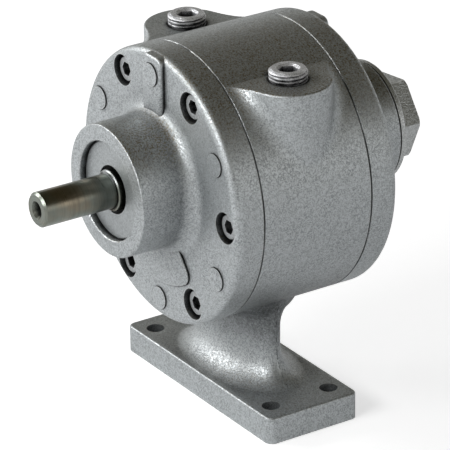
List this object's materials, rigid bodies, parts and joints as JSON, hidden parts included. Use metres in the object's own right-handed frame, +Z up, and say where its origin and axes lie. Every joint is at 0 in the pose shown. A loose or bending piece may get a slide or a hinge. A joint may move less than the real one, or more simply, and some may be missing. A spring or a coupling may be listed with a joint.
{
  "type": "foot-mounted rotary vane air motor",
  "caption": "Small cast rotary vane air motor on an oval pedestal foot, with a plain output shaft, bolted end covers, plugged top ports and a hexagonal rear cap.",
  "frame": {"origin": "centre of the foot's four bolt holes, on the underside of the foot", "axes": "+Z is up, away from the surface the foot stands on. The output shaft points along -Y. +X is to the right as seen from the shaft's end, so the foot's long side runs along X"},
  "size_m": [0.1016, 0.1525, 0.1378],
  "materials": {
    "casting_paint": "silver-grey metallic paint over a pebbled cast surface, satin",
    "cap_paint": "silver-grey metallic paint over a machined hexagon, satin",
    "seal_paint": "silver-grey metallic paint over smooth pressed sheet",
    "gasket_fibre": "compressed fibre sheet, dark and matte",
    "screw_steel": "zinc-plated steel, satin, dark in the socket",
    "shaft_steel": "ground steel with fine turning marks and a bright tip",
    "bearing_steel": "ground hardened steel, smooth",
    "ball_steel": "polished hardened steel",
    "cage_steel": "pressed steel, dull",
    "spring_steel": "blackened spring steel, satin",
    "rotor_iron": "machined iron, satin",
    "vane_composite": "brown laminated composite, matte",
    "seal_rubber": "black rubber, matte",
    "plug_zinc": "bright zinc-plated steel, worn on the edges"
  },
  "bodies": {
    "housing": {"motor_body": "casting_paint", "front_cover": "casting_paint", "rear_cover": "casting_paint", "front_gasket": "gasket_fibre", "rear_gasket": "gasket_fibre", "front_cover_screws": "screw_steel", "rear_cover_screws": "screw_steel", "dowel_pins": "bearing_steel", "front_bearing_outer_ring": "bearing_steel", "rear_bearing_outer_ring": "bearing_steel", "front_retaining_ring": "spring_steel", "rear_retaining_ring": "spring_steel", "seal_case": "seal_paint", "seal_lip": "seal_rubber", "rear_end_cap": "cap_paint", "end_cap_gasket": "gasket_fibre", "port_plug_left": "plug_zinc", "port_plug_right": "plug_zinc"},
    "rotor_shaft": {"drive_shaft": "shaft_steel", "rotor": "rotor_iron", "vane_1": "vane_composite", "vane_2": "vane_composite", "vane_3": "vane_composite", "vane_4": "vane_composite", "front_bearing_inner_ring": "bearing_steel", "rear_bearing_inner_ring": "bearing_steel"},
    "front_ball_set": {"front_bearing_cage": "cage_steel", "front_bearing_balls": "ball_steel"},
    "rear_ball_set": {"rear_bearing_cage": "cage_steel", "rear_bearing_balls": "ball_steel"}
  },
  "joints": [
    {"name": "rotor_spin", "type": "hinge", "parent": "housing", "child": "rotor_shaft", "pos_m": [0, 0, 0.0907], "axis": [0, -1, 0], "continuous": true},
    {"name": "front_ball_set_spin", "type": "hinge", "parent": "housing", "child": "front_ball_set", "pos_m": [0, -0.039, 0.0907], "axis": [0, -1, 0], "continuous": true},
    {"name": "rear_ball_set_spin", "type": "hinge", "parent": "housing", "child": "rear_ball_set", "pos_m": [0, 0.039, 0.0907], "axis": [0, -1, 0], "continuous": true}
  ],
  "couplings": [
    {"joint": "front_ball_set_spin", "follows": "rotor_spin", "ratio": 0.381},
    {"joint": "rear_ball_set_spin", "follows": "rotor_spin", "ratio": 0.381}
  ]
}
